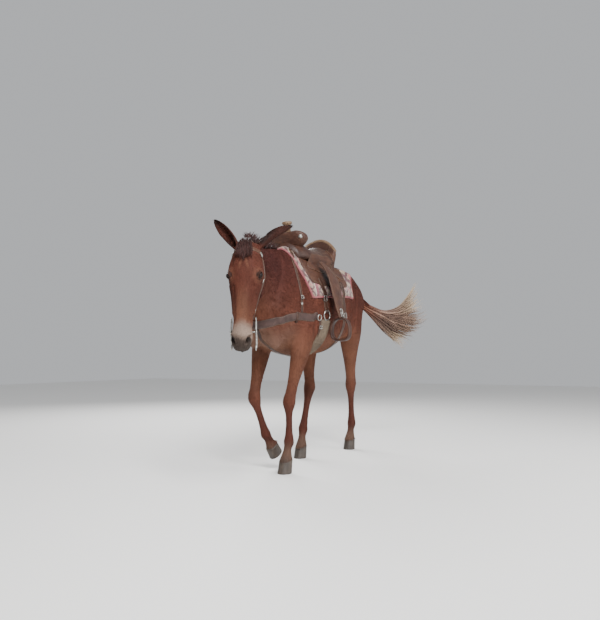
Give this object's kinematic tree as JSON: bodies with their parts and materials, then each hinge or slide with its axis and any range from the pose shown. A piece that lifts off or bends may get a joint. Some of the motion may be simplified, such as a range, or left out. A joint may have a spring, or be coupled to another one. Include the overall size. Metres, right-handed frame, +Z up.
{
  "type": "saddle mule",
  "caption": "Life-size saddled mule at a walk, head low, one forefoot lifted, tail swung to its left, with bridle, breast collar, woven pad and double-rigged western saddle.",
  "frame": {"origin": "bottom centre of the bounding box, on the floor the hooves stand on", "axes": "+Z up, the mule faces -Y, and +X is on the mule's left"},
  "size_m": [0.9862, 2.546, 1.7168],
  "materials": {
    "coat": "short glossy reddish-brown hair",
    "hair": "long coarse tail hair, blond at the tips",
    "horn": "dull dark grey hoof horn",
    "eye": "wet dark eye",
    "leather": "oiled brown tooled leather",
    "collar_leather": "worn grey-brown leather",
    "wool": "woven wool with a bound edge",
    "cord": "mohair cord",
    "steel": "worn bright steel",
    "rawhide": "pale wrapped rawhide"
  },
  "bodies": {
    "root": {"bit_left": "steel", "bit_right": "steel", "breast_collar": "collar_leather", "breast_strap": "leather", "bridle_concho_left": "steel", "bridle_concho_right": "steel", "browband": "leather", "cinch_keeper": "leather", "cinch_ring_left": "steel", "cinch_ring_right": "steel", "collar_ring_left": "steel", "collar_ring_right": "steel", "collar_tie_left": "leather", "collar_tie_right": "leather", "curb_strap": "leather", "ear_left": "coat", "ear_right": "coat", "eye_left": "eye", "eye_right": "eye", "fender_left": "leather", "fender_right": "leather", "fore_left_hoof": "horn", "fore_left_leg": "coat", "fore_right_hoof": "horn", "fore_right_leg": "coat", "front_cinch": "cord", "head": "coat", "headstall": "leather", "hind_left_hoof": "horn", "hind_left_leg": "coat", "hind_right_hoof": "horn", "hind_right_leg": "coat", "jockey_left": "leather", "jockey_right": "leather", "latigo_left": "leather", "latigo_right": "leather", "neck": "coat", "rear_cinch": "leather", "rear_concho_left": "steel", "rear_concho_right": "steel", "saddle_cantle": "leather", "saddle_horn": "rawhide", "saddle_pad": "wool", "saddle_seat": "leather", "saddle_swell": "leather", "skirt_left": "leather", "skirt_right": "leather", "stirrup_left": "leather", "stirrup_right": "leather", "tail": "hair", "torso": "coat", "tug_concho_left": "steel", "tug_concho_right": "steel", "tug_left": "leather", "tug_right": "leather"}
  },
  "joints": []
}
